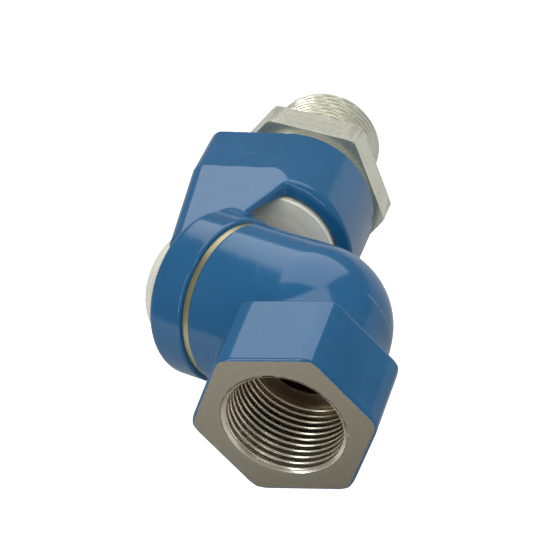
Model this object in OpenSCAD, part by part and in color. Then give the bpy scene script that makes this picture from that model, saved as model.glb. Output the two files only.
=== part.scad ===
// Gas swivel connector, 3/4 in taper pipe thread, female to male.
// Two swivel joints: the knuckle, where the link body turns on the spigot of
// the socket body, and the nipple joint, where the male nipple turns in the
// eye of the link body. Millimetres. The origin is the centre of the socket
// mouth, the socket opens towards -Y and a flat of its hexagon faces +Z.

/* [Pipe ends] */
// Outside diameter of the pipe that the threads are cut for
pipe_d = 26.67; // [26:0.01:27.2]
// Width across flats of the socket hexagon
socket_af = 37.2; // [36:0.1:40]
// Length of the socket hexagon
socket_len = 19.7; // [18:0.1:24]
// Diameter over the turned corners of the socket hexagon
socket_corner_d = 42.0; // [40:0.1:43]
// Width of the bevel round the socket mouth face
face_bevel = 0.45; // [0.2:0.05:1]
// Depth of the threaded bore
bore_depth = 20.5; // [18:0.1:23]
// Widening of the threaded bore at its mouth
mouth_chamfer = 0.5; // [0.2:0.05:1]
// Diameter of the gas way behind the threaded bore
way_d = 19; // [14:0.5:21]
// Width across flats of the nipple hexagon
nipple_af = 36.0; // [34:0.1:38]
// Diameter over the turned corners of the nipple hexagon
nipple_corner_d = 41.4; // [38:0.1:43]
// Width of the bevel round both ends of the nipple hexagon
nipple_bevel = 0.6; // [0.2:0.05:1.2]
// Angle that the nipple is turned in the eye
nipple_turn = 13; // [0:1:60]
// Thickness of the nipple hexagon
nipple_hex_h = 9; // [6:0.1:12]
// Length of the nipple from its hexagon to the threaded end
nipple_thread_len = 24.2; // [18:0.1:26]
// Length of the plain neck between hexagon and thread
nipple_neck_len = 2.4; // [1:0.1:4]
// Diameter of the plain neck between hexagon and thread
nipple_neck_d = 23.6; // [21:0.1:25]
// Diameter of the gas way in the nipple
nipple_way_d = 17; // [13:0.5:18]

/* [Knuckle joint] */
// Angle between the socket axis and the knuckle axis
knuckle_angle = 67.5; // [60:0.5:75]
// Distance from the socket mouth to the knuckle axis
knuckle_back = 31.2; // [30:0.1:36]
// Distance from the socket axis to the face of the dome
dome_reach = 22.9; // [22:0.1:28]
// Radius of the dome behind the socket
dome_r = 18.35; // [17:0.05:20]
// Shift of the ball of the dome along the knuckle axis
dome_shift = 3.3; // [0:0.1:5]
// Rounding of the rim of the dome
dome_edge = 0.6; // [0.4:0.1:2]
// Radius of the ring of the link body
ring_r = 18.8; // [17.5:0.1:21]
// Length of the ring of the link body
ring_len = 9.8; // [9.7:0.1:14]
// Rounding of the outer edge of the ring
ring_edge = 2.2; // [0.5:0.1:4]
// Angle that the link body is turned from the straight position
knuckle_turn = 15; // [0:1:90]

/* [Link body] */
// Angle between the knuckle axis and the nipple axis
link_angle = 62.5; // [60:0.5:68]
// Distance from the socket axis to the crossing of the two swivel axes
elbow_reach = 21.5; // [20:0.1:23]
// Radius of the eye round the nipple
eye_r = 18.7; // [17.5:0.1:21]
// Height of the underside of the eye above the crossing of the axes
eye_low = 26; // [25:0.1:30]
// Length of the eye along the nipple axis
eye_len = 25; // [24.5:0.1:30]
// Distance from the nipple axis to the outer face of the arm
arm_out = 19; // [17:0.1:23]
// Rounding of the outer corners of the arm
arm_corner = 3; // [1:0.1:5]
// Height at which the side faces of the arm begin to lean in
arm_crease = 32; // [28:0.5:36]
// Lean of the side faces of the arm
arm_lean = 7; // [3:0.5:9]
// Height of the lowest edge of the arm
arm_low = 3; // [0:0.5:8]
// Depth of the pocket that the nipple cap goes in through
pocket_depth = 10; // [4:0.5:12]
// Distance from the dome side of the ring to the inner face of the arm
arm_in = 5.2; // [2:0.1:7]

/* [Stems and seals] */
// Radius of the stem of either swivel joint
stem_r = 9.8; // [9:0.05:10.2]
// Radius of the gas way in the knuckle spigot
stem_way_r = 6.4; // [4:0.1:6.8]
// Running clearance between parts that turn on each other
running = 0.05; // [0.02:0.01:0.08]
// Thickness of the sealing rings
seal_d = 1.4; // [1.2:0.05:1.6]
// Width of the sealing ring grooves
groove_w = 1.8; // [1.7:0.05:2.2]
// Thickness of the thrust washers between the bodies
thrust_t = 1.6; // [0.6:0.05:2]
// Radius of the knuckle thrust washer
knuckle_thrust_r = 17.9; // [14:0.1:18.2]
// Radius of the nipple thrust washer
nipple_thrust_r = 16.2; // [13:0.1:17]
// Radius of the collar of the nipple
collar_r = 17; // [15:0.1:17.2]
// Thickness of the collar of the nipple
collar_t = 2.2; // [1.5:0.1:4]
// Thickness of the washer under the retaining ring
washer_t = 0.9; // [0.6:0.05:1.1]
// Radius of the washer under the retaining ring
washer_r = 11.4; // [11:0.05:11.6]
// Thickness of the retaining rings
snap_t = 1.1; // [0.8:0.05:1.2]
// Radius of the retaining rings
snap_r = 11.2; // [10.8:0.05:11.4]
// Depth of the retaining ring grooves
snap_groove = 0.8; // [0.5:0.05:1]
// Radius of the gas chambers round the stems
chamber_r = 14.2; // [13.8:0.1:14.4]
// Length of the plain bearing bushes
bush_len = 3.2; // [2:0.1:3.6]
// Wall of the plain bearing bushes
bush_wall = 1.25; // [0.8:0.05:1.4]

/* [Caps] */
// Radius of the knuckle cap
knuckle_cap_r = 12.3; // [12.1:0.05:12.5]
// Height of the knuckle cap above the ring
knuckle_cap_h = 6.4; // [5:0.1:8]
// Radius of the nipple cap
nipple_cap_r = 14.8; // [12.1:0.05:15]
// Height of the nipple cap below the eye
nipple_cap_h = 1.2; // [1:0.1:2]
// Depth of the recess for the nipple cap
cap_recess = 3.2; // [3:0.1:4]
// Clearance round the caps
cap_gap = 0.3; // [0.2:0.05:0.5]
// Wall of the caps round the retaining rings
cap_wall = 0.7; // [0.5:0.05:0.9]

/* [Hidden] */
$fn = 96;

// Overlap that makes a cut pass through a face, and a joining piece bite
bite = 0.5;
// Depth that a sharp turned corner is broken by
corner_break = 0.4;

paint = [0.19, 0.37, 0.56];
zinc = [0.76, 0.76, 0.66];
bronze = [0.78, 0.66, 0.38];
rubber = [0.12, 0.12, 0.12];
spring_steel = [0.35, 0.36, 0.38];

pipe_r = pipe_d / 2;
stem_bore_r = stem_r + running;
joint_gap = thrust_t + 2 * running;

// Knuckle, measured along its axis from the socket axis
ring_near = dome_reach + joint_gap;
ring_far = ring_near + ring_len;
dust_depth = seal_d + 0.15;
land = 0.5;
inner_groove = ring_near + dust_depth + land;
chamber_low = inner_groove + groove_w + land;
outer_groove = ring_far - 1 - groove_w;
chamber_high = outer_groove - land;
knuckle_port = (chamber_low + chamber_high) / 2;
knuckle_washer = ring_far + running;
knuckle_snap = knuckle_washer + washer_t + running;
stem_lip = 1.1;
knuckle_stem_end = knuckle_snap + snap_t + stem_lip;

// Nipple joint, measured along its axis from the crossing of the two axes
eye_high = eye_low + eye_len;
collar_low = eye_high + joint_gap;
hex_low = collar_low + collar_t;
hex_high = hex_low + nipple_hex_h;
nipple_end = hex_high + nipple_thread_len;
upper_bush_low = eye_high - dust_depth - land - bush_len;
upper_groove = upper_bush_low - 2 * land - groove_w;
recess_top = eye_low + cap_recess;
lower_bush_low = recess_top + land;
lower_groove = lower_bush_low + bush_len + 2 * land;
eye_chamber_low = lower_groove + groove_w + land;
eye_chamber_high = upper_groove - land;
nipple_port = (eye_chamber_low + eye_chamber_high) / 2;
nipple_washer_low = recess_top - running - washer_t;
nipple_snap_low = nipple_washer_low - running - snap_t;
nipple_stem_end = nipple_snap_low - stem_lip;

function lean_in(z) = (arm_crease - z) * tan(arm_lean);

// The frame of the knuckle: +Z runs along the knuckle axis, away from the socket
module at_knuckle() {
    translate([0, knuckle_back, 0]) rotate([0, 0, knuckle_angle]) rotate([-90, 0, 0]) children();
}

// The frame of the link body: the knuckle's frame, turned about the knuckle axis
module at_link() {
    at_knuckle() rotate([0, 0, knuckle_turn]) children();
}

// The frame of the nipple joint: +Z runs along the nipple axis, out of the thread
module at_eye() {
    at_link() translate([0, 0, elbow_reach]) rotate([0, link_angle, 0]) children();
}

// A ring with a square section
module ring_shape(inner, outer, low, height) {
    translate([0, 0, low]) difference() {
        cylinder(r = outer, h = height);
        translate([0, 0, -bite]) cylinder(r = inner, h = height + 2 * bite);
    }
}

// A rubber ring that lies round a stem
module seal_shape(inner, middle) {
    rotate_extrude() translate([inner + seal_d / 2, middle]) circle(d = seal_d, $fn = 32);
}

// A hexagon with its corners turned down and bevelled at both ends
module turned_hex(af, corner_d, height, bevel) {
    slope_h = bevel * tan(30);
    intersection() {
        cylinder(d = af / cos(30), h = height, $fn = 6);
        rotate_extrude() polygon([
            [0, 0],
            [corner_d / 2 - bevel, 0],
            [corner_d / 2, slope_h],
            [corner_d / 2, height - slope_h],
            [corner_d / 2 - bevel, height],
            [0, height]
        ]);
    }
}

// The part of a swivel stem that takes the seals, the gas ports and the retaining ring
module stem_cuts(first_groove, second_groove, port, port_r, snap_low) {
    for (low = [first_groove, second_groove])
        ring_shape(stem_r - seal_d - 0.02, stem_r + bite, low, groove_w);
    ring_shape(stem_r - snap_groove, stem_r + bite, snap_low, snap_t + 0.1);
    for (turn = [15 : 60 : 315])
        rotate([0, 0, turn]) translate([stem_way_r - 1.5, 0, port]) rotate([0, 90, 0])
            cylinder(r = port_r, h = stem_r, $fn = 24);
}

// The socket: hexagon, dome and knuckle spigot in one casting
module socket_body() {
    color(paint) difference() {
        union() {
            rotate([-90, 0, 0]) intersection() {
                cylinder(d = socket_af / cos(30), h = socket_len, $fn = 6);
                rotate_extrude() polygon([
                    [0, 0],
                    [socket_corner_d / 2 - face_bevel, 0],
                    [socket_corner_d / 2, face_bevel],
                    [socket_corner_d / 2, socket_len - 2 * face_bevel],
                    [socket_corner_d / 2 - 2 * face_bevel, socket_len],
                    [0, socket_len]
                ]);
            }
            rotate([-90, 0, 0]) translate([0, 0, socket_len - bite]) cylinder(r = dome_r - 3, h = knuckle_back - socket_len);
            at_knuckle() rotate_extrude() polygon(concat(
                [[0, dome_shift - dome_r]],
                [for (a = [-85 : 5 : 0]) [dome_r * cos(a), dome_shift + dome_r * sin(a)]],
                [for (a = [0 : 15 : 90]) [dome_r - dome_edge + dome_edge * cos(a), dome_reach - dome_edge + dome_edge * sin(a)]],
                [[stem_r, dome_reach], [stem_r, knuckle_stem_end - corner_break],
                 [stem_r - corner_break, knuckle_stem_end], [0, knuckle_stem_end]]
            ));
        }
        rotate([-90, 0, 0]) {
            translate([0, 0, -bite]) cylinder(r = pipe_r, h = bore_depth + bite);
            translate([0, 0, -bite]) cylinder(r1 = pipe_r + mouth_chamfer + bite, r2 = pipe_r, h = mouth_chamfer + bite);
            cylinder(d = way_d, h = knuckle_back);
        }
        at_knuckle() {
            sphere(r = way_d / 2 + bite);
            cylinder(r = stem_way_r, h = knuckle_port + 2.6);
            stem_cuts(inner_groove, outer_groove, knuckle_port, (chamber_high - chamber_low) / 2, knuckle_snap);
        }
    }
}

// The outline of the eye and of the arm beside it, seen along the nipple axis
module eye_outline() {
    circle(r = eye_r);
    translate([arm_corner - arm_out, -eye_r]) square([arm_out - arm_corner, 2 * eye_r]);
    translate([-arm_out, arm_corner - eye_r]) square([arm_corner + bite, 2 * (eye_r - arm_corner)]);
    for (side = [-1, 1])
        translate([arm_corner - arm_out, side * (eye_r - arm_corner)]) circle(r = arm_corner);
}

// The side faces of the eye and the arm: upright down to the crease, and from there they lean in
module lean_sides() {
    reach = eye_r + bite;
    over = bite / tan(arm_lean);
    rotate([90, 0, 90]) translate([0, 0, -2 * arm_out]) linear_extrude(height = 4 * arm_out) polygon([
        [lean_in(arm_low - bite) - eye_r, arm_low - bite],
        [eye_r - lean_in(arm_low - bite), arm_low - bite],
        [reach, arm_crease + over],
        [reach, eye_high + over],
        [-reach, eye_high + over],
        [-reach, arm_crease + over]
    ]);
}

// The notch between the eye and the ring, with one face square to the knuckle axis
module notch() {
    inner = ring_near + arm_in - elbow_reach;
    low = arm_low - bite;
    rotate([90, 0, 0]) translate([0, 0, -2 * eye_r]) linear_extrude(height = 4 * eye_r) polygon([
        [(eye_low * cos(link_angle) - inner) / sin(link_angle), eye_low],
        [2 * eye_r, eye_low],
        [2 * eye_r, low],
        [(low * cos(link_angle) - inner) / sin(link_angle), low]
    ]);
}

// The link: ring, arm and eye in one casting
module link_body() {
    color(paint) difference() {
        union() {
            at_eye() difference() {
                intersection() {
                    translate([0, 0, arm_low]) linear_extrude(height = eye_high - arm_low) eye_outline();
                    lean_sides();
                }
                notch();
                translate([0, 0, eye_low - pocket_depth]) cylinder(r = nipple_cap_r + cap_gap, h = pocket_depth + bite);
            }
            at_link() rotate_extrude() polygon(concat(
                [[0, ring_near]],
                [for (a = [-90 : 30 : 0]) [ring_r - 0.8 + 0.8 * cos(a), ring_near + 0.8 + 0.8 * sin(a)]],
                [for (a = [0 : 15 : 90]) [ring_r - ring_edge + ring_edge * cos(a), ring_far - ring_edge + ring_edge * sin(a)]],
                [[0, ring_far]]
            ));
        }
        at_link() {
            translate([0, 0, ring_near - bite]) cylinder(r = stem_bore_r, h = ring_len + 2 * bite);
            translate([0, 0, ring_near - bite]) cylinder(r = stem_r + seal_d + 0.2, h = dust_depth + bite);
            translate([0, 0, chamber_low]) cylinder(r = chamber_r, h = chamber_high - chamber_low);
            translate([0, 0, ring_far]) cylinder(r = knuckle_cap_r + cap_gap, h = 2 * arm_out);
        }
        at_eye() {
            translate([0, 0, eye_low - bite]) cylinder(r = stem_bore_r, h = eye_len + 2 * bite);
            translate([0, 0, eye_high - dust_depth]) cylinder(r = stem_r + seal_d + 0.2, h = dust_depth + bite);
            for (low = [upper_bush_low, lower_bush_low])
                translate([0, 0, low]) cylinder(r = stem_bore_r + bush_wall, h = bush_len);
            translate([0, 0, eye_chamber_low]) cylinder(r = chamber_r, h = eye_chamber_high - eye_chamber_low);
            translate([0, 0, eye_low - nipple_cap_h - cap_gap])
                cylinder(r = nipple_cap_r + cap_gap, h = cap_recess + nipple_cap_h + cap_gap);
        }
    }
}

// The nipple: thread, hexagon, collar and stem turned from one bar
module male_nipple() {
    thread_low = hex_high + nipple_neck_len;
    color(zinc) at_eye() difference() {
        union() {
            rotate_extrude() polygon([
                [0, nipple_stem_end],
                [stem_r - corner_break, nipple_stem_end],
                [stem_r, nipple_stem_end + corner_break],
                [stem_r, collar_low],
                [collar_r, collar_low],
                [collar_r, hex_low + bite],
                [0, hex_low + bite]
            ]);
            translate([0, 0, hex_low]) rotate([0, 0, nipple_turn])
                turned_hex(nipple_af, nipple_corner_d, nipple_hex_h, nipple_bevel);
            translate([0, 0, hex_high - bite]) cylinder(d = nipple_neck_d, h = nipple_neck_len + 2 * bite);
            translate([0, 0, thread_low]) cylinder(r = pipe_r, h = nipple_end - thread_low - 1);
            translate([0, 0, nipple_end - 1]) cylinder(r1 = pipe_r, r2 = pipe_r - 1, h = 1);
        }
        translate([0, 0, nipple_port - 2.6]) cylinder(r = stem_way_r, h = nipple_end);
        translate([0, 0, hex_low]) cylinder(d = nipple_way_d, h = nipple_end);
        stem_cuts(lower_groove, upper_groove, nipple_port, 2.2, nipple_snap_low - 0.1);
    }
}

module knuckle_thrust_washer() {
    color(bronze) at_knuckle() ring_shape(stem_bore_r, knuckle_thrust_r, dome_reach + running, thrust_t);
}

module knuckle_dust_seal() {
    color(rubber) at_knuckle() seal_shape(stem_r, ring_near + dust_depth - seal_d / 2 - 0.02);
}

module knuckle_inner_seal() {
    color(rubber) at_knuckle() seal_shape(stem_r - seal_d, inner_groove + groove_w / 2);
}

module knuckle_outer_seal() {
    color(rubber) at_knuckle() seal_shape(stem_r - seal_d, outer_groove + groove_w / 2);
}

module knuckle_end_washer() {
    color(zinc) at_knuckle() ring_shape(stem_bore_r, washer_r, knuckle_washer, washer_t);
}

// An open spring ring: the gap lets it be spread over the stem
module retaining_ring(low) {
    difference() {
        ring_shape(stem_r - snap_groove, snap_r, low, snap_t);
        translate([stem_r - 2, -1.5, low - bite]) cube([4, 3, snap_t + 2 * bite]);
    }
}

module knuckle_retaining_ring() {
    color(spring_steel) at_knuckle() retaining_ring(knuckle_snap);
}

// A cap: a turned cup that is pressed on the end of a stem and covers the retaining ring
module cap_shape(radius, mouth, seat, stem_end, top, dome) {
    rotate_extrude() polygon([
        [0, stem_end],
        [stem_r, stem_end],
        [stem_r, seat],
        [radius - cap_wall, seat],
        [radius - cap_wall, mouth],
        [radius, mouth],
        [radius, top - 2 * dome],
        [radius - dome, top - dome],
        [radius - 3 * dome, top - dome / 3],
        [radius - 5 * dome, top],
        [0, top]
    ]);
}

module knuckle_cap() {
    color(zinc) at_knuckle() cap_shape(
        knuckle_cap_r, ring_far + cap_gap, knuckle_snap + snap_t + running,
        knuckle_stem_end, ring_far + knuckle_cap_h, 0.3
    );
}

module nipple_thrust_washer() {
    color(bronze) at_eye() ring_shape(stem_bore_r, nipple_thrust_r, eye_high + running, thrust_t);
}

module nipple_dust_seal() {
    color(rubber) at_eye() seal_shape(stem_r, eye_high - dust_depth + seal_d / 2 + 0.02);
}

module nipple_upper_bush() {
    color(bronze) at_eye() ring_shape(stem_bore_r, stem_bore_r + bush_wall, upper_bush_low, bush_len);
}

module nipple_upper_seal() {
    color(rubber) at_eye() seal_shape(stem_r - seal_d, upper_groove + groove_w / 2);
}

module nipple_lower_seal() {
    color(rubber) at_eye() seal_shape(stem_r - seal_d, lower_groove + groove_w / 2);
}

module nipple_lower_bush() {
    color(bronze) at_eye() ring_shape(stem_bore_r, stem_bore_r + bush_wall, lower_bush_low, bush_len);
}

module nipple_end_washer() {
    color(zinc) at_eye() ring_shape(stem_bore_r, washer_r, nipple_washer_low, washer_t);
}

module nipple_retaining_ring() {
    color(spring_steel) at_eye() retaining_ring(nipple_snap_low);
}

module nipple_cap() {
    color(zinc) at_eye() mirror([0, 0, 1]) cap_shape(
        nipple_cap_r, -(recess_top - 2 * cap_gap - washer_t), -(nipple_snap_low - running),
        -nipple_stem_end, nipple_cap_h - eye_low, 0.4
    );
}

socket_body();
link_body();
male_nipple();
knuckle_thrust_washer();
knuckle_dust_seal();
knuckle_inner_seal();
knuckle_outer_seal();
knuckle_end_washer();
knuckle_retaining_ring();
knuckle_cap();
nipple_thrust_washer();
nipple_dust_seal();
nipple_upper_bush();
nipple_upper_seal();
nipple_lower_seal();
nipple_lower_bush();
nipple_end_washer();
nipple_retaining_ring();
nipple_cap();
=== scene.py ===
import math

import bmesh
import bpy
import numpy as np
from mathutils import Matrix, Vector


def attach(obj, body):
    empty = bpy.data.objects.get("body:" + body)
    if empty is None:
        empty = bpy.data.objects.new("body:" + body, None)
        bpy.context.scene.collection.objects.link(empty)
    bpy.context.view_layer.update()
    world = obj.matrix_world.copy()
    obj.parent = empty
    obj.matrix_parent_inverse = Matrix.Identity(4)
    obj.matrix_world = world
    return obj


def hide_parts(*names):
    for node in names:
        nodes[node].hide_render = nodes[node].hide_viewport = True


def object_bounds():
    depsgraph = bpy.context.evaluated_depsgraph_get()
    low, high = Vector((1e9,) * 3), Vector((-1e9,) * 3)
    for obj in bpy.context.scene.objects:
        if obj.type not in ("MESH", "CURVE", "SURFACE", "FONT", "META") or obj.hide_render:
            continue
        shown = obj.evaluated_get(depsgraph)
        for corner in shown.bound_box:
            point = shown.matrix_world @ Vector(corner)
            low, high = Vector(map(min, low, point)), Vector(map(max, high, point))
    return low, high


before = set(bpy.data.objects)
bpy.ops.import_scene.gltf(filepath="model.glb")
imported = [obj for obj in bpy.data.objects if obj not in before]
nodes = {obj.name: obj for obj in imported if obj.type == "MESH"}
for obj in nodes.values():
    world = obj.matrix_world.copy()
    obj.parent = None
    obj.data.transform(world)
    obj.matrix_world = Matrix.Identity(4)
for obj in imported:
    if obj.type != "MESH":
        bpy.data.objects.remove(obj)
cad_low, cad_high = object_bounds()

# The table: a plain pale floor below the lowest corner of the connector, which is held by the
# thread of its socket. It is a light table: white to the camera, with a patch in front that glows.
FLOOR_Z = cad_low.z - 0.002
FLOOR_HALF = 3.0
PATCH_AT, PATCH_FULL, PATCH_GONE, PATCH_GLOW = (-0.12, -0.3, FLOOR_Z), 0.12, 0.34, 0.9


def surface(name, points, faces, crease=None):
    """A mesh object from an array of points in metres and an array of faces, shaded smooth, with
    sharp edges where two faces meet at more than the crease angle in degrees."""
    mesh = bpy.data.meshes.new(name)
    mesh.from_pydata(points.tolist(), [], faces.tolist())
    mesh.polygons.foreach_set("use_smooth", np.ones(len(mesh.polygons), bool))
    if crease is not None:
        whole = bmesh.new()
        whole.from_mesh(mesh)
        bmesh.ops.remove_doubles(whole, verts=whole.verts, dist=1e-7)
        bmesh.ops.dissolve_degenerate(whole, edges=whole.edges, dist=1e-8)
        whole.to_mesh(mesh)
        whole.free()
        mesh.set_sharp_from_angle(angle=math.radians(crease))
    mesh.update()
    made = bpy.data.objects.new(name, mesh)
    bpy.context.scene.collection.objects.link(made)
    return made


def finish_of(name):
    """A new material, with its node tree and its Principled shader."""
    material = bpy.data.materials.new(name)
    material.use_nodes = True
    return material, material.node_tree, material.node_tree.nodes["Principled BSDF"]


def node(tree, kind, values=None, **settings):
    """One shader node, with its settings, and for each input a value or the output linked to it."""
    made = tree.nodes.new(kind)
    for key, value in settings.items():
        setattr(made, key, value)
    for key, value in (values or {}).items():
        if isinstance(value, bpy.types.NodeSocket):
            tree.links.new(value, made.inputs[key])
        else:
            made.inputs[key].default_value = value
    return made


floor = surface(
    "pale_floor",
    np.array([(x * FLOOR_HALF, y * FLOOR_HALF, FLOOR_Z) for x, y in ((-1, -1), (1, -1), (1, 1), (-1, 1))]),
    np.array([(0, 1, 2, 3)]),
)
floor_sheet, tree, shader = finish_of("light_table")
shader.inputs["Base Color"].default_value = (0.5, 0.5, 0.5, 1)
shader.inputs["Roughness"].default_value = 0.9
shader.inputs["Specular IOR Level"].default_value = 0.1
shader.inputs["Emission Color"].default_value = (1, 1, 1, 1)
where = node(tree, "ShaderNodeTexCoord")
apart = node(tree, "ShaderNodeVectorMath", {0: where.outputs["Object"], 1: PATCH_AT}, operation="DISTANCE")
patch = node(
    tree,
    "ShaderNodeMapRange",
    {0: apart.outputs["Value"], 1: PATCH_FULL, 2: PATCH_GONE, 3: PATCH_GLOW, 4: 0.0},
    interpolation_type="SMOOTHSTEP",
)
seen = node(tree, "ShaderNodeLightPath")
glow = node(tree, "ShaderNodeMath", {0: seen.outputs["Is Camera Ray"], 1: patch.outputs[0]}, operation="ADD")
tree.links.new(glow.outputs[0], shader.inputs["Emission Strength"])
floor.data.materials.append(floor_sheet)

# The camera: above the mouth and to its right, rolled as the photograph is, about three
# quarters of a metre away. Its lens is given by the photograph's width and focal length in pixels.
FILM_WIDTH, PHOTO_WIDTH, FOCAL_PIXELS, CAMERA_AWAY = 36, 550, 3669.1, 0.77635
RIGHT = Vector((0.937, 0.266, -0.227)).normalized()
BACK = Vector((0.349, -0.719, 0.601)).normalized()
UP = BACK.cross(RIGHT).normalized()
RIGHT = UP.cross(BACK).normalized()
FOCUS = RIGHT * -0.001784 + UP * 0.031999
camera = bpy.data.objects.new("camera", bpy.data.cameras.new("camera"))
bpy.context.scene.collection.objects.link(camera)
camera.data.sensor_width = FILM_WIDTH
camera.data.lens = FILM_WIDTH * FOCAL_PIXELS / PHOTO_WIDTH
camera.data.clip_start = 0.05
camera.matrix_world = Matrix.Translation(FOCUS + BACK * CAMERA_AWAY) @ Matrix(
    (RIGHT, UP, BACK)
).transposed().to_4x4()
bpy.context.scene.camera = camera
bpy.context.scene.view_settings.view_transform = "Standard"

# The lights: a wide soft box behind and above, whose picture lies on the upper flats, two strips in
# front that shine along the bore, three fills that gloss doesn't mirror, and a grey room that is
# white where the camera looks into it.
ROOM_GREY, LIT_POINT = 0.26, Vector((-0.01, 0.05, 0))
world = bpy.data.worlds.new("grey_room")
bpy.context.scene.world = world
world.use_nodes = True
room = world.node_tree
seen = node(room, "ShaderNodeLightPath")
bright = node(
    room,
    "ShaderNodeMath",
    {0: seen.outputs["Is Camera Ray"], 1: 0.76, 2: ROOM_GREY},
    operation="MULTIPLY_ADD",
)
room.nodes["Background"].inputs["Color"].default_value = (1, 1, 1, 1)
room.links.new(bright.outputs[0], room.nodes["Background"].inputs["Strength"])


def soft_box(name, towards, distance, width, height, radiance, mirrored=True):
    """A rectangular light that looks at the connector from the direction given. Its power is its
    radiance times its area times pi. One that isn't mirrored only fills the shadows."""
    light = bpy.data.lights.new(name, "AREA")
    light.shape = "RECTANGLE"
    light.size, light.size_y = width, height
    light.energy = radiance * width * height * math.pi
    lamp = bpy.data.objects.new(name, light)
    bpy.context.scene.collection.objects.link(lamp)
    lamp.visible_glossy = mirrored
    direction = Vector(towards).normalized()
    turned = direction.to_track_quat("Z", "Y").to_matrix().to_4x4()
    lamp.matrix_world = Matrix.Translation(LIT_POINT + direction * distance) @ turned


soft_box("box_behind", (0.054, 0.613, 0.788), 0.9, 1.0, 1.04, 1.85)
soft_box("fill_left", (-0.93, -0.1, 0.35), 0.9, 0.5, 0.6, 0.8, mirrored=False)
soft_box("strip_front", (-0.35, -0.7, 0.6), 0.9, 0.12, 0.9, 6.0)
soft_box("strip_right", (0.55, -0.3, 0.76), 0.9, 0.08, 0.5, 5.0)
soft_box("fill_front", (0.2, -0.55, 0.82), 1.0, 0.6, 0.6, 2.2, mirrored=False)
soft_box("fill_right", (0.9, 0.2, 0.35), 1.0, 0.6, 0.6, 1.3, mirrored=False)

# The socket body: hexagon, domed elbow and knuckle spigot in one casting, powder coated all
# over and then bored, threaded and faced, so that bare metal shows at the mouth.
MM = 0.001
SOCKET_AF, SOCKET_LEN, SOCKET_CORNER_R, MOUTH_BEAD = 37.2, 19.7, 21.0, 0.7
PIPE_R, BORE_DEPTH, WAY_R, MOUTH_CHAMFER = 13.335, 20.5, 9.5, 0.5
KNUCKLE_BACK, KNUCKLE_ANGLE = 31.2, math.radians(67.5)
DOME_REACH, DOME_R, DOME_SHIFT, DOME_EDGE = 22.9, 18.35, 3.3, 0.7
STEM_R, STEM_WAY_R, STEM_END, SPIGOT_WAY_END, SPIGOT_EDGE = 9.8, 6.4, 37.6, 32.6, 0.4
HEX_EDGE, HEX_BACK_EDGE, HEX_FILLET = 1.0, 1.2, 1.6
NECK_R_LESS, NECK_SUNK, NECK_FILLET, ELBOW_SPARE = 3.0, 2.0, 1.0, 0.5
GRID = 0.5


def rounded_or(a, b, r):
    """The union of two fields of distance, its inner corner filled with an arc of radius r."""
    return np.maximum(r, np.minimum(a, b)) - np.hypot(np.maximum(r - a, 0), np.maximum(r - b, 0))


def rounded_and(a, b, r):
    """The overlap of two fields of distance, its outer corner rounded to an arc of radius r."""
    return np.minimum(-r, np.maximum(a, b)) + np.hypot(np.maximum(r + a, 0), np.maximum(r + b, 0))


def rod(p, r, low, high, edge=0.0):
    """A cylinder round Z between two heights, with its edges rounded."""
    side = np.hypot(p[0], p[1]) - r
    ends = np.maximum(low - p[2], p[2] - high)
    return rounded_and(side, ends, edge) if edge else np.maximum(side, ends)


def into(matrix, p):
    """Points of the part's frame, given in the frame of the matrix, one array for each axis."""
    m = np.array(matrix.inverted())
    return [m[i, 0] * p[0] + m[i, 1] * p[1] + m[i, 2] * p[2] + m[i, 3] for i in range(3)]


def skin(name, field, low, high, step):
    """The zero surface of a field of distance. Each cell of a grid that the surface crosses gets one
    point, each grid edge that it crosses gets one face between the four cells round it, and the
    points are then moved along the field's slope until they lie on the surface."""
    axes = [np.arange(a, b + step, step) for a, b in zip(low, high)]
    full = field([g for g in np.meshgrid(*axes, indexing="ij", sparse=True)])
    inside = full < 0
    shape = tuple(n - 1 for n in full.shape)
    total = np.zeros(shape, np.int8)
    for i, j, k in np.ndindex(2, 2, 2):
        total += inside[i : i + shape[0], j : j + shape[1], k : k + shape[2]]
    cells = (total > 0) & (total < 8)
    number = np.full(shape, -1, np.int64)
    number[cells] = np.arange(cells.sum())
    at = np.argwhere(cells)
    points = np.stack([axes[i][at[:, i]] for i in range(3)], 1) + step / 2
    faces = []
    for axis in range(3):
        u, v = (axis + 1) % 3, (axis + 2) % 3
        near = np.take(inside, range(full.shape[axis] - 1), axis)
        far = np.take(inside, range(1, full.shape[axis]), axis)
        where = np.argwhere(near != far)
        where = where[(where[:, u] > 0) & (where[:, v] > 0)]
        where = where[(where[:, u] < shape[u]) & (where[:, v] < shape[v])]
        corners = []
        for du, dv in ((1, 1), (0, 1), (0, 0), (1, 0)):
            c = where.copy()
            c[:, u] -= du
            c[:, v] -= dv
            corners.append(number[tuple(c.T)])
        quads = np.stack(corners, 1)
        outwards = near[tuple(where.T)]
        quads[~outwards] = quads[~outwards][:, ::-1]
        faces.append(quads)
    for _ in range(6):
        value, slope = slope_of(field, points)
        points -= slope * np.clip(value / np.maximum((slope**2).sum(1), 0.04), -step, step)[:, None]
    made = surface(name, points * MM, np.concatenate(faces))
    _, slope = slope_of(field, points)
    slope /= np.linalg.norm(slope, axis=1)[:, None]
    made.data.normals_split_custom_set_from_vertices(slope.tolist())
    return made


def slope_of(field, points, reach=0.02):
    """The field at some points, and its slope there from small steps each way along the axes."""
    value = field(points.T)
    slope = np.empty_like(points)
    for i in range(3):
        step = np.zeros(3)
        step[i] = reach
        slope[:, i] = (field((points + step).T) - field((points - step).T)) / (2 * reach)
    return value, slope


def six_sides(a, b, af):
    """The distance to a hexagon, one flat of which is square to the second axis."""
    s = math.sin(math.radians(60))
    return np.maximum(np.abs(b), np.abs(a) * s + np.abs(b) / 2) - af / 2


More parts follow.
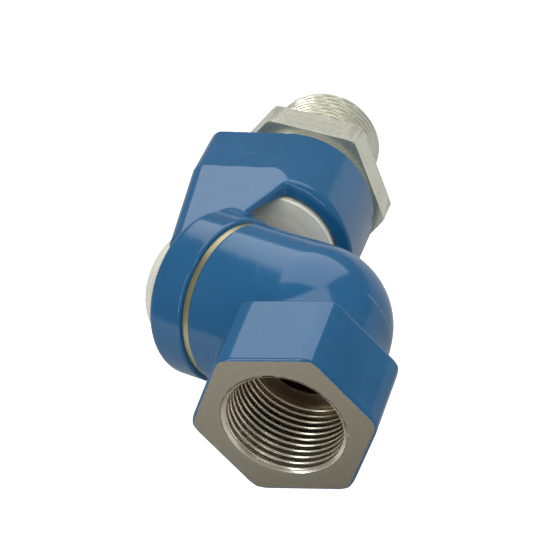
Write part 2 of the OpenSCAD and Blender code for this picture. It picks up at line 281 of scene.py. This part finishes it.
TO_MOUTH = Matrix.Rotation(math.radians(-90), 4, "X")
KNUCKLE = (
    Matrix.Translation((0, KNUCKLE_BACK, 0))
    @ Matrix.Rotation(KNUCKLE_ANGLE, 4, "Z")
    @ Matrix.Rotation(math.radians(-90), 4, "X")
)


def socket_field(p):
    """The hexagon and the dome run into each other with a fillet; the bore and ways are cut."""
    m, k = into(TO_MOUTH, p), into(KNUCKLE, p)
    round_corners = np.hypot(m[0], m[1]) - SOCKET_CORNER_R
    sides = rounded_and(six_sides(m[0], m[1], SOCKET_AF), round_corners, HEX_EDGE)
    hexagon = rounded_and(sides, m[2] - SOCKET_LEN, HEX_BACK_EDGE)
    hexagon = rounded_and(hexagon, -m[2], MOUTH_BEAD)
    ball = np.sqrt(k[0] ** 2 + k[1] ** 2 + np.minimum(k[2] - DOME_SHIFT, 0) ** 2) - DOME_R
    dome = rounded_and(ball, k[2] - DOME_REACH, DOME_EDGE)
    neck = rod(m, DOME_R - NECK_R_LESS, SOCKET_LEN - NECK_SUNK, KNUCKLE_BACK)
    body = rounded_or(rounded_or(dome, neck, NECK_FILLET), hexagon, HEX_FILLET)
    body = np.minimum(body, rod(k, STEM_R, 0, STEM_END, SPIGOT_EDGE))
    bore = np.minimum(
        rod(m, PIPE_R, -5, BORE_DEPTH), np.hypot(m[0], m[1]) - (PIPE_R + MOUTH_CHAMFER - m[2])
    )
    ways = np.minimum(rod(m, WAY_R, 0, KNUCKLE_BACK), rod(k, STEM_WAY_R, 0, SPIGOT_WAY_END))
    elbow = np.sqrt(p[0] ** 2 + (p[1] - KNUCKLE_BACK) ** 2 + p[2] ** 2) - WAY_R - ELBOW_SPARE
    ways = np.minimum(ways, elbow)
    return np.maximum(body, -np.minimum(bore, ways))


socket = skin("socket_casting", socket_field, (-38, -1, -23), (23, 59, 23), GRID)
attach(socket, "socket")
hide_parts("socket_body")


def effect(name, inputs, outputs):
    """A node group with named inputs, each with its kind and its value, and named outputs."""
    group = bpy.data.node_groups.new(name, "ShaderNodeTree")
    for label, (kind, value) in inputs.items():
        socket_in = group.interface.new_socket(label, in_out="INPUT", socket_type="NodeSocket" + kind)
        socket_in.default_value = value
    for label, kind in outputs.items():
        group.interface.new_socket(label, in_out="OUTPUT", socket_type="NodeSocket" + kind)
    given, result = group.nodes.new("NodeGroupInput"), group.nodes.new("NodeGroupOutput")
    return group, given.outputs, result.inputs


# Powder that has flowed out unevenly: broad lumps with a fine skin on them.
orange_peel, given, result = effect(
    "orange_peel", {"Lumps per metre": ("Float", 320.0)}, {"Height": "Float"}
)
where = node(orange_peel, "ShaderNodeTexCoord")
fine = node(orange_peel, "ShaderNodeMath", {0: given[0], 1: 3.7}, operation="MULTIPLY")
broad_lumps = node(
    orange_peel, "ShaderNodeTexNoise", {0: where.outputs["Object"], "Scale": given[0], "Detail": 1.0}
)
fine_lumps = node(
    orange_peel, "ShaderNodeTexNoise", {0: where.outputs["Object"], "Scale": fine.outputs[0], "Detail": 2.0}
)
both = node(
    orange_peel,
    "ShaderNodeMath",
    {0: fine_lumps.outputs[0], 1: 0.3, 2: broad_lumps.outputs[0]},
    operation="MULTIPLY_ADD",
)
orange_peel.links.new(both.outputs[0], result[0])

# Colour that drifts between two tones, as in a coat or a plating of uneven thickness.
cloud, given, result = effect(
    "cloud",
    {
        "Clouds per metre": ("Float", 60.0),
        "Thin": ("Color", (0, 0, 0, 1)),
        "Thick": ("Color", (1, 1, 1, 1)),
    },
    {"Color": "Color", "Mask": "Float"},
)
where = node(cloud, "ShaderNodeTexCoord")
drift = node(cloud, "ShaderNodeTexNoise", {0: where.outputs["Object"], "Scale": given[0], "Detail": 4.0})
spread = node(cloud, "ShaderNodeMapRange", {0: drift.outputs[0], 1: 0.35, 2: 0.65})
tone = node(cloud, "ShaderNodeMix", {0: spread.outputs[0], 6: given[1], 7: given[2]}, data_type="RGBA")
cloud.links.new(tone.outputs[2], result[0])
cloud.links.new(spread.outputs[0], result[1])

# Rubs from handling: short thin scratches that cross, and a little dust.
rubs, given, result = effect("rubs", {"Rubs per metre": ("Float", 90.0)}, {"Mask": "Float"})
where = node(rubs, "ShaderNodeTexCoord")
masks = []
for turn, stretch in (((0.5, 0.2, 0.9), (1, 18, 6)), ((1.3, 0.8, 2.1), (14, 1, 9))):
    laid = node(rubs, "ShaderNodeMapping", {0: where.outputs["Object"], "Rotation": turn, "Scale": stretch})
    lines = node(rubs, "ShaderNodeTexNoise", {0: laid.outputs[0], "Scale": given[0], "Detail": 2.0})
    thin = node(rubs, "ShaderNodeMapRange", {0: lines.outputs[0], 1: 0.63, 2: 0.72})
    masks.append(thin.outputs[0])
most = node(rubs, "ShaderNodeMath", {0: masks[0], 1: masks[1]}, operation="MAXIMUM")
rubs.links.new(most.outputs[0], result[0])

# Marks that a turning tool leaves: fine rings round an axis, on end faces and on round sides.
tool_marks, given, result = effect(
    "tool_marks",
    {"Centre": ("Vector", (0, 0, 0)), "Axis": ("Vector", (0, 0, 1)), "Pitch": ("Float", 0.0002)},
    {"Height": "Float", "Streak": "Float"},
)
where = node(tool_marks, "ShaderNodeTexCoord")


def vector_step(kind, first, values=None):
    """One step of vector arithmetic on the coordinates of the tool marks."""
    return node(tool_marks, "ShaderNodeVectorMath", {0: first, **(values or {})}, operation=kind)


out = vector_step("SUBTRACT", where.outputs["Object"], {1: given[0]})
along = vector_step("DOT_PRODUCT", out.outputs[0], {1: given[1]})
part = vector_step("SCALE", given[1], {"Scale": along.outputs["Value"]})
aside = vector_step("SUBTRACT", out.outputs[0], {1: part.outputs[0]})
radius = vector_step("LENGTH", aside.outputs[0])
per = node(tool_marks, "ShaderNodeMath", {0: 1.0, 1: given[2]}, operation="DIVIDE")
plane = node(tool_marks, "ShaderNodeCombineXYZ", {0: radius.outputs["Value"], 1: along.outputs["Value"]})
counted = vector_step("SCALE", plane.outputs[0], {"Scale": per.outputs[0]})
rings = node(tool_marks, "ShaderNodeTexNoise", {0: counted.outputs[0], "Scale": 1.0, "Detail": 2.0})
bands = node(tool_marks, "ShaderNodeTexNoise", {0: counted.outputs[0], "Scale": 0.17, "Detail": 2.0})
tool_marks.links.new(rings.outputs[0], result[0])
tool_marks.links.new(bands.outputs[0], result[1])


def placed(tree, group, values=None):
    """A node group in a material's tree, with its own values."""
    return node(tree, "ShaderNodeGroup", values, node_tree=group)


def relief(tree, height, strength, distance):
    """A bump node that reads a height."""
    return node(tree, "ShaderNodeBump", {"Strength": strength, "Distance": distance, "Height": height})


def powder_coat(name):
    """The blue coat: gloss, with orange peel, a slight drift of colour and dull rubs. Gives back the
    material, its tree, its shader, and the outputs for colour, roughness and normal."""
    material, tree, shader = finish_of(name)
    colour = placed(
        tree, cloud, {0: 45.0, "Thin": (0.010, 0.097, 0.225, 1), "Thick": (0.015, 0.114, 0.258, 1)}
    )
    worn = placed(tree, rubs, {0: 70.0})
    dull = node(tree, "ShaderNodeMapRange", {0: worn.outputs[0], 3: 0.13, 4: 0.24})
    peel = placed(tree, orange_peel)
    lumps = relief(tree, peel.outputs[0], 0.35, 0.00006)
    shader.inputs["IOR"].default_value = 1.5
    tree.links.new(colour.outputs[0], shader.inputs["Base Color"])
    tree.links.new(dull.outputs[0], shader.inputs["Roughness"])
    tree.links.new(lumps.outputs[0], shader.inputs["Normal"])
    return material, tree, shader, (colour.outputs[0], dull.outputs[0], lumps.outputs[0])


coat, tree, shader, paint = powder_coat("blue_powder_coat_faced")
where = node(tree, "ShaderNodeTexCoord")
ragged = node(tree, "ShaderNodeTexNoise", {0: where.outputs["Object"], "Scale": 500.0, "Detail": 3.0})
split = node(tree, "ShaderNodeSeparateXYZ", {0: where.outputs["Object"]})
shifted = node(
    tree,
    "ShaderNodeMath",
    {0: ragged.outputs[0], 1: -0.00012, 2: split.outputs["Y"]},
    operation="MULTIPLY_ADD",
)


def short_of(distance, full, gone):
    """A mask that is 1 up to one distance and falls to 0 at the next."""
    return node(tree, "ShaderNodeMapRange", {0: distance, 1: full, 2: gone, 3: 1.0, 4: 0.0})


def joined(first, second, how):
    """Two masks made one: MULTIPLY keeps where both are, and MAXIMUM where either is."""
    return node(tree, "ShaderNodeMath", {0: first.outputs[0], 1: second.outputs[0]}, operation=how)


faced = short_of(shifted.outputs[0], -0.00003, 0.00002)
flat = node(tree, "ShaderNodeCombineXYZ", {0: split.outputs["X"], 2: split.outputs["Z"]})
reach = node(tree, "ShaderNodeVectorMath", {0: flat.outputs[0]}, operation="LENGTH")
in_bore = short_of(reach.outputs["Value"], 0.0141, 0.0142)
before_step = short_of(split.outputs["Y"], 0.0207, 0.0209)
in_way = short_of(reach.outputs["Value"], 0.01, 0.0101)
before_elbow = short_of(split.outputs["Y"], 0.0412, 0.0415)
cut_away = joined(
    joined(in_bore, before_step, "MULTIPLY"), joined(in_way, before_elbow, "MULTIPLY"), "MAXIMUM"
)
bare = joined(faced, cut_away, "MAXIMUM")
marks = placed(tree, tool_marks, {"Axis": (0, 1, 0), "Pitch": 0.00022})
steel = node(
    tree,
    "ShaderNodeMix",
    {0: marks.outputs["Streak"], 6: (0.24, 0.22, 0.165, 1), 7: (0.33, 0.305, 0.235, 1)},
    data_type="RGBA",
)
# Painted shade: past the bottom of the bore, the bare metal of the gas way is coloured dark brown to stand
# for the shadow deep in the hole.
shade = node(tree, "ShaderNodeMapRange", {0: split.outputs["Y"], 1: 0.019, 2: 0.021})
inside = node(
    tree,
    "ShaderNodeMix",
    {0: shade.outputs[0], 6: steel.outputs[2], 7: (0.13, 0.09, 0.06, 1)},
    data_type="RGBA",
)
both = node(tree, "ShaderNodeMix", {0: bare.outputs[0], 6: paint[0], 7: inside.outputs[2]}, data_type="RGBA")
satin = node(tree, "ShaderNodeMapRange", {0: marks.outputs["Height"], 3: 0.3, 4: 0.5})
gloss = node(tree, "ShaderNodeMix", {0: bare.outputs[0], 2: paint[1], 3: satin.outputs[0]})
cut = relief(tree, marks.outputs["Height"], 0.3, 0.00003)
slant = node(tree, "ShaderNodeMix", {0: bare.outputs[0], 4: paint[2], 5: cut.outputs[0]}, data_type="VECTOR")
tree.links.new(both.outputs[2], shader.inputs["Base Color"])
tree.links.new(gloss.outputs[0], shader.inputs["Roughness"])
tree.links.new(slant.outputs[1], shader.inputs["Normal"])
tree.links.new(bare.outputs[0], shader.inputs["Metallic"])
socket.data.materials.append(coat)

# The female thread: taper pipe thread cut in the bore, bright where the tool has just passed. It is
# a shell whose back is buried in the casting.
PITCH, THREAD_H, THREAD_BACK, THREAD_RUN, FADE_OVER = 1.814, 0.3, 13.4, 20.3, 1.2
FLAT_CREST, ROUND_CREST, TAPER = 2.6, 1.3, 50
TURN_STEPS = 144


def ridge(turns, flat):
    """The rounded outline of a thread, from 0 at the root to 1 at the crest, for a count of turns.
    The crest is a cosine wave scaled up and cut off level, the flatter the larger the scale."""
    wave = 0.5 - 0.5 * np.cos(2 * np.pi * turns)
    return np.clip(flat * wave, 0, 1) ** 0.85


def wrapped(name, radii, heights, matrix, crease):
    """A closed skin round an axis. Radii holds one row for each step of the outline and one column
    for each step of the angle, and heights the height of each row. The last row joins the first."""
    rows, columns = radii.shape
    angle = np.arange(columns) * 2 * np.pi / columns
    x, y = radii * np.cos(angle), radii * np.sin(angle)
    z = np.broadcast_to(heights[:, None], radii.shape)
    m = np.array(matrix)
    flat = np.stack([x.ravel(), y.ravel(), z.ravel()], 1) @ m[:3, :3].T + m[:3, 3]
    at = np.arange(rows * columns).reshape(rows, columns)
    down, side = np.roll(at, -1, 0), np.roll(at, -1, 1)
    faces = np.stack([at, side, np.roll(down, -1, 1), down], 2).reshape(-1, 4)
    if abs(radii[0]).max() < 1e-9:
        faces = faces[: (rows - 1) * columns]
    return surface(name, flat * MM, faces, crease)


ANGLES = np.arange(TURN_STEPS) * 2 * np.pi / TURN_STEPS
depth = np.linspace(0, BORE_DEPTH, 231)[:, None]
fade = np.clip((THREAD_RUN - depth) / FADE_OVER, 0, 1)
helix = ridge(depth / PITCH - ANGLES / (2 * np.pi), FLAT_CREST)
inner = PIPE_R - 0.02 - depth / TAPER - THREAD_H * fade * helix
inner = np.maximum(inner, PIPE_R + MOUTH_CHAMFER - 0.06 - 1.2 * depth)
outer = np.full((2, TURN_STEPS), THREAD_BACK)
thread = wrapped(
    "socket_thread",
    np.concatenate([outer, inner[::-1]]),
    np.concatenate([[0.35, BORE_DEPTH], np.maximum(depth[::-1, 0], 0.02)]),
    TO_MOUTH,
    60,
)
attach(thread, "socket")


def turned_metal(name, thin, thick, gloss, line, pitch, cut_depth, clouds=60.0, metal=1.0):
    """A bare or plated metal that was turned: drift of tone between two colours, rings of the tool
    round a line (a point and an axis), and rubs. Gloss is the least and the most roughness."""
    material, tree, shader = finish_of(name)
    shader.inputs["Metallic"].default_value = metal
    tone = placed(tree, cloud, {0: clouds, "Thin": thin, "Thick": thick})
    marks = placed(tree, tool_marks, {"Centre": line[0], "Axis": line[1], "Pitch": pitch})
    dark = node(tree, "ShaderNodeMapRange", {0: marks.outputs["Streak"], 1: 0.3, 2: 0.7, 3: 0.93, 4: 1.05})
    shade = node(
        tree,
        "ShaderNodeVectorMath",
        {0: tone.outputs["Color"], "Scale": dark.outputs[0]},
        operation="SCALE",
    )
    worn = placed(tree, rubs, {0: 90.0})
    harm = node(
        tree,
        "ShaderNodeMath",
        {0: worn.outputs[0], 1: 0.2, 2: marks.outputs["Height"]},
        operation="MULTIPLY_ADD",
    )
    dull = node(
        tree, "ShaderNodeMapRange", {0: harm.outputs[0], 1: 0.25, 2: 1.1, 3: gloss[0], 4: gloss[1]}
    )
    cut = relief(tree, marks.outputs["Height"], 0.4, cut_depth)
    tree.links.new(shade.outputs[0], shader.inputs["Base Color"])
    tree.links.new(dull.outputs[0], shader.inputs["Roughness"])
    tree.links.new(cut.outputs[0], shader.inputs["Normal"])
    return material


MOUTH_LINE = ((0, 0, 0), (0, 1, 0))
thread.data.materials.append(
    turned_metal(
        "cut_steel", (0.74, 0.69, 0.57, 1), (0.87, 0.82, 0.7, 1), (0.22, 0.38), MOUTH_LINE, 0.00022, 0.0001
    )
)

# The knuckle's loose parts: the bronze thrust washer that shows as a gold band between dome and
# ring, three rubber seals in their grooves, and the zinc washer and spring ring that hold the link.
KNUCKLE_LINE = (tuple(v * MM for v in KNUCKLE.translation), tuple(KNUCKLE.col[2][:3]))


def dress(finish, *names):
    """Gives CAD nodes a material in place of the one that they came with."""
    for name in names:
        nodes[name].data.materials.clear()
        nodes[name].data.materials.append(finish)


bronze = turned_metal(
    "bronze", (0.46, 0.41, 0.24, 1), (0.58, 0.53, 0.34, 1), (0.3, 0.5), KNUCKLE_LINE, 0.00018, 0.00002
)
dress(bronze, "knuckle_thrust_washer")

rubber, tree, shader = finish_of("seal_rubber")
tone = placed(
    tree, cloud, {0: 400.0, "Thin": (0.011, 0.011, 0.012, 1), "Thick": (0.022, 0.022, 0.023, 1)}
)
grain = placed(tree, orange_peel, {0: 2500.0})
skin_bump = relief(tree, grain.outputs[0], 0.3, 0.00003)
dull = node(tree, "ShaderNodeMapRange", {0: tone.outputs["Mask"], 3: 0.42, 4: 0.6})
tree.links.new(tone.outputs["Color"], shader.inputs["Base Color"])
tree.links.new(dull.outputs[0], shader.inputs["Roughness"])
tree.links.new(skin_bump.outputs[0], shader.inputs["Normal"])
dress(rubber, "knuckle_dust_seal", "knuckle_inner_seal", "knuckle_outer_seal")

spring = turned_metal(
    "spring_steel", (0.2, 0.2, 0.21, 1), (0.3, 0.3, 0.31, 1), (0.3, 0.5), KNUCKLE_LINE, 0.0003, 0.00002
)
dress(spring, "knuckle_retaining_ring")

# The link body: ring, arm and eye in one casting, powder coated like the socket. The ring turns
# on the knuckle spigot, and the eye holds the stem of the nipple.
KNUCKLE_TURN, LINK_ANGLE, ELBOW_REACH = math.radians(15), math.radians(62.5), 21.5
RING_R, RING_NEAR, RING_FAR = 18.8, 24.6, 34.4
RING_EDGE, RING_NEAR_EDGE, RING_FILLET = 2.2, 0.8, 1.2
EYE_R, EYE_LOW, EYE_HIGH, EYE_EDGE = 18.7, 26.0, 51.0, 0.35
ARM_OUT, ARM_CORNER, ARM_CREASE, ARM_LEAN = 19.0, 3.0, 32.0, math.radians(7)
ARM_LOW, ARM_LOW_EDGE, ARM_IN, ARM_DRAFT = 1.8, 1.1, 5.2, 0.058
NOTCH_FILLET, NOTCH_EDGE, NOTCH_FRONT_EDGE = 0.6, 0.7, 1.8
SEAL_POCKET_R, SEAL_POCKET_NEAR, SEAL_POCKET_FAR = 14.2, 28.95, 31.1
RUNNING, WASHER_WIDE, WASHER_DEEP, CUT_EDGE, POCKET_EDGE, BEYOND = 0.05, 1.6, 1.55, 0.3, 0.4, 60
KNUCKLE_CAP_R, NIPPLE_CAP_R, CAP_GAP, CAP_RECESS, POCKET = 12.3, 14.8, 0.3, 3.2, 10.0
LINK = KNUCKLE @ Matrix.Rotation(KNUCKLE_TURN, 4, "Z")
EYE = LINK @ Matrix.Translation((0, 0, ELBOW_REACH)) @ Matrix.Rotation(LINK_ANGLE, 4, "Y")


def eased(t):
    """A step from 0 to 1 that starts and ends level."""
    t = np.clip(t, 0, 1)
    return t * t * (3 - 2 * t)


def link_field(p):
    """One block holds the eye and the arm. Below the eye it is cut back to the arm, whose inner face
    is square to the knuckle axis; the front edge of that cut is rounded more than the others."""
    k, e = into(LINK, p), into(EYE, p)
    below = np.maximum(ARM_CREASE - e[2], 0)
    front = (np.abs(e[1]) - EYE_R + below * math.tan(ARM_LEAN)) * math.cos(ARM_LEAN)
    far = -e[0] - ARM_OUT + below * ARM_DRAFT
    round_side = np.maximum(np.hypot(e[0], e[1]) - EYE_R, front)
    sides = np.where(e[0] > 0, round_side, rounded_and(front, far, ARM_CORNER))
    top = rounded_and(sides, e[2] - EYE_HIGH, EYE_EDGE)
    block = rounded_and(top, ARM_LOW - e[2], ARM_LOW_EDGE)
    keep = rounded_or(EYE_LOW - e[2], RING_NEAR + ARM_IN - k[2], NOTCH_FILLET)
    edge = NOTCH_EDGE + NOTCH_FRONT_EDGE * eased((-e[1] - 5) / 10) * eased((e[0] - 1) / 8)
    body = rounded_and(block, keep, edge)
    pocket = rod(e, NIPPLE_CAP_R + CAP_GAP, EYE_LOW - POCKET, EYE_LOW + 0.5)
    body = rounded_and(body, -pocket, POCKET_EDGE)
    disc = rounded_and(np.hypot(k[0], k[1]) - RING_R, k[2] - RING_FAR, RING_EDGE)
    ring = rounded_and(disc, RING_NEAR - k[2], RING_NEAR_EDGE)
    body = rounded_or(body, ring, RING_FILLET)
    cuts = (
        rod(k, STEM_R + RUNNING, 0, BEYOND),
        rod(k, SEAL_POCKET_R, SEAL_POCKET_NEAR, SEAL_POCKET_FAR),
        rod(k, STEM_R + WASHER_WIDE, 0, RING_NEAR + WASHER_DEEP),
        rod(k, KNUCKLE_CAP_R + CAP_GAP, RING_FAR, BEYOND),
        rod(e, STEM_R + RUNNING, 0, BEYOND),
        rod(e, STEM_R + WASHER_WIDE, EYE_HIGH - WASHER_DEEP, BEYOND),
        rod(e, NIPPLE_CAP_R + CAP_GAP, EYE_LOW - 1.5, EYE_LOW + CAP_RECESS),
    )
    cut = cuts[0]
    for other in cuts[1:]:
        cut = np.minimum(cut, other)
    return rounded_and(body, -cut, CUT_EDGE)


link = skin("link_casting", link_field, (-48, 22, -32), (-1, 98, 24), GRID)
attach(link, "link")
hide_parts("link_body")
link.data.materials.append(powder_coat("blue_powder_coat")[0])

# The knuckle cap: a zinc-plated cup, turned from bar and pressed on the end of the spigot. It hides
# the spring ring, and its edge is only just broken.
CAP_SEAT, CAP_MOUTH, CAP_TOP, CAP_WALL = 36.6, 34.7, 40.8, 0.7


def spun(name, outline, matrix, crease=25):
    """A closed skin turned round an axis from an outline of radii and heights that starts and ends
    on the axis."""
    outline = np.array(outline, float)
    return wrapped(name, np.repeat(outline[:, :1], TURN_STEPS, 1), outline[:, 1], matrix, crease)


zinc = turned_metal(
    "zinc_plate_cap",
    (0.82, 0.81, 0.7, 1),
    (0.9, 0.89, 0.79, 1),
    (0.2, 0.38),
    KNUCKLE_LINE,
    0.0004,
    0.00002,
    metal=0.2,
)
knuckle_cap = spun(
    "knuckle_cap_turned",
    [
        (0, STEM_END),
        (STEM_R, STEM_END),
        (STEM_R, CAP_SEAT),
        (KNUCKLE_CAP_R - CAP_WALL, CAP_SEAT),
        (KNUCKLE_CAP_R - CAP_WALL, CAP_MOUTH),
        (KNUCKLE_CAP_R - 0.15, CAP_MOUTH),
        (KNUCKLE_CAP_R, CAP_MOUTH + 0.15),
        (KNUCKLE_CAP_R, CAP_TOP - 0.45),
        (KNUCKLE_CAP_R - 0.1, CAP_TOP - 0.2),
        (KNUCKLE_CAP_R - 0.35, CAP_TOP - 0.03),
        (KNUCKLE_CAP_R - 0.7, CAP_TOP),
        (KNUCKLE_CAP_R * 0.6, CAP_TOP - 0.05),
        (0, CAP_TOP - 0.1),
    ],
    KNUCKLE,
)
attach(knuckle_cap, "socket")
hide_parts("knuckle_cap")
knuckle_cap.data.materials.append(zinc)
dress(zinc, "knuckle_end_washer")

# The nipple: thread, hexagon, collar and stem turned from one hexagon bar and zinc plated, with a
# gas way bored down its middle.
NIPPLE_AF, NIPPLE_CORNER_R, NIPPLE_BEVEL, NIPPLE_TURN = 36.0, 20.7, 0.35, math.radians(13)
COLLAR_R, COLLAR_LOW, HEX_LOW, HEX_HIGH, THREAD_LOW, NIPPLE_END = 17.0, 52.7, 54.9, 63.9, 66.3, 88.1
NIPPLE_STEM_END, NIPPLE_WAY_R, NIPPLE_WAY_LOW, NECK_R, MALE_THREAD_H = 26.0, 8.5, 36.7, 11.8, 1.4
EYE_LINE = (tuple(v * MM for v in LINK @ Vector((0, 0, ELBOW_REACH))), tuple(EYE.col[2][:3]))
NIPPLE_STEPS, MALE_TAPER, START_OVER = 180, 90, 2.2

turn = np.arange(NIPPLE_STEPS) * 2 * np.pi / NIPPLE_STEPS
corner = (turn + np.pi / 6) % (np.pi / 3) - np.pi / 6
six = NIPPLE_AF / 2 / np.cos(np.pi / 6 - np.abs(corner))
HEXAGON = EYE @ Matrix.Rotation(NIPPLE_TURN, 4, "Z")


def level(*steps):
    """Rows of one radius all round, from pairs of radius and height."""
    return [(np.full(NIPPLE_STEPS, r), z) for r, z in steps]


def hex_row(limit, z):
    """A row that follows the hexagon, turned down where it passes the limit."""
    return [(np.minimum(six, limit), z)]


height = np.linspace(THREAD_LOW, NIPPLE_END, 221)
crest = PIPE_R - 0.01 - (height - THREAD_LOW) / MALE_TAPER
start = np.clip((height - THREAD_LOW) / START_OVER, 0, 1)
helix = ridge(height[:, None] / PITCH - turn / (2 * np.pi), ROUND_CREST)
thread_rows = crest[:, None] - MALE_THREAD_H * (1 - start[:, None] * helix)
thread_rows = np.minimum(thread_rows, (PIPE_R - 1.5 + (NIPPLE_END - height))[:, None])
rows = (
    level((0, NIPPLE_STEM_END), (STEM_R - 0.4, NIPPLE_STEM_END), (STEM_R, NIPPLE_STEM_END + 0.4))
    + level((STEM_R, COLLAR_LOW), (COLLAR_R - 0.25, COLLAR_LOW), (COLLAR_R, COLLAR_LOW + 0.25))
    + level((COLLAR_R, HEX_LOW))
    + hex_row(NIPPLE_CORNER_R - NIPPLE_BEVEL, HEX_LOW)
    + hex_row(NIPPLE_CORNER_R, HEX_LOW + 0.2)
    + hex_row(NIPPLE_CORNER_R, HEX_HIGH - 0.25)
    + hex_row(NIPPLE_CORNER_R - 0.6, HEX_HIGH)
    + level((NECK_R + 0.4, HEX_HIGH), (NECK_R, HEX_HIGH + 0.4), (NECK_R, THREAD_LOW - 0.05))
    + [(thread_rows[i], z) for i, z in enumerate(height)]
    + level((NIPPLE_WAY_R + 0.5, NIPPLE_END), (NIPPLE_WAY_R, NIPPLE_END - 0.5), (NIPPLE_WAY_R, HEX_LOW))
    + level((STEM_WAY_R, HEX_LOW), (STEM_WAY_R, NIPPLE_WAY_LOW), (0, NIPPLE_WAY_LOW))
)
radii, heights = (np.array(column) for column in zip(*rows))
nipple = wrapped("nipple_turned", radii, heights, HEXAGON, 40)
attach(nipple, "nipple")
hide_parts("male_nipple")
plate = turned_metal(
    "zinc_plate",
    (0.76, 0.77, 0.63, 1),
    (0.86, 0.87, 0.74, 1),
    (0.24, 0.36),
    EYE_LINE,
    0.0003,
    0.00001,
    clouds=90.0,
    metal=0.8,
)
nipple.data.materials.append(plate)

# The nipple cap: the same kind of cup, pressed on the lower end of the stem, almost flush with the
# underside of the eye.
NCAP_SEAT, NCAP_MOUTH, NCAP_TOP = 27.15, 27.7, 24.8
nipple_cap = spun(
    "nipple_cap_turned",
    [
        (0, NCAP_TOP + 0.12),
        (NIPPLE_CAP_R * 0.55, NCAP_TOP + 0.06),
        (NIPPLE_CAP_R - 0.7, NCAP_TOP),
        (NIPPLE_CAP_R - 0.3, NCAP_TOP + 0.05),
        (NIPPLE_CAP_R, NCAP_TOP + 0.4),
        (NIPPLE_CAP_R, NCAP_MOUTH - 0.1),
        (NIPPLE_CAP_R - 0.1, NCAP_MOUTH),
        (NIPPLE_CAP_R - CAP_WALL, NCAP_MOUTH),
        (NIPPLE_CAP_R - CAP_WALL, NCAP_SEAT - 0.2),
        (STEM_R, NCAP_SEAT - 0.2),
        (STEM_R, NIPPLE_STEM_END),
        (0, NIPPLE_STEM_END),
    ],
    EYE,
)
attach(nipple_cap, "nipple")
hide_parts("nipple_cap")
matt = turned_metal(
    "zinc_plate_matt",
    (0.88, 0.86, 0.73, 1),
    (0.93, 0.91, 0.8, 1),
    (0.4, 0.5),
    EYE_LINE,
    0.0003,
    0.00002,
    metal=0.2,
)
nipple_cap.data.materials.append(matt)

# Inside the eye: bronze bushes and thrust washer, rubber seals, and the zinc washer and spring ring
# that keep the stem in.
eye_bronze = turned_metal(
    "bronze_bush", (0.6, 0.45, 0.2, 1), (0.74, 0.58, 0.31, 1), (0.24, 0.42), EYE_LINE, 0.00018, 0.00002
)
dress(eye_bronze, "nipple_thrust_washer", "nipple_upper_bush", "nipple_lower_bush")
dress(rubber, "nipple_dust_seal", "nipple_upper_seal", "nipple_lower_seal")
dress(plate, "nipple_end_washer")
dress(spring, "nipple_retaining_ring")
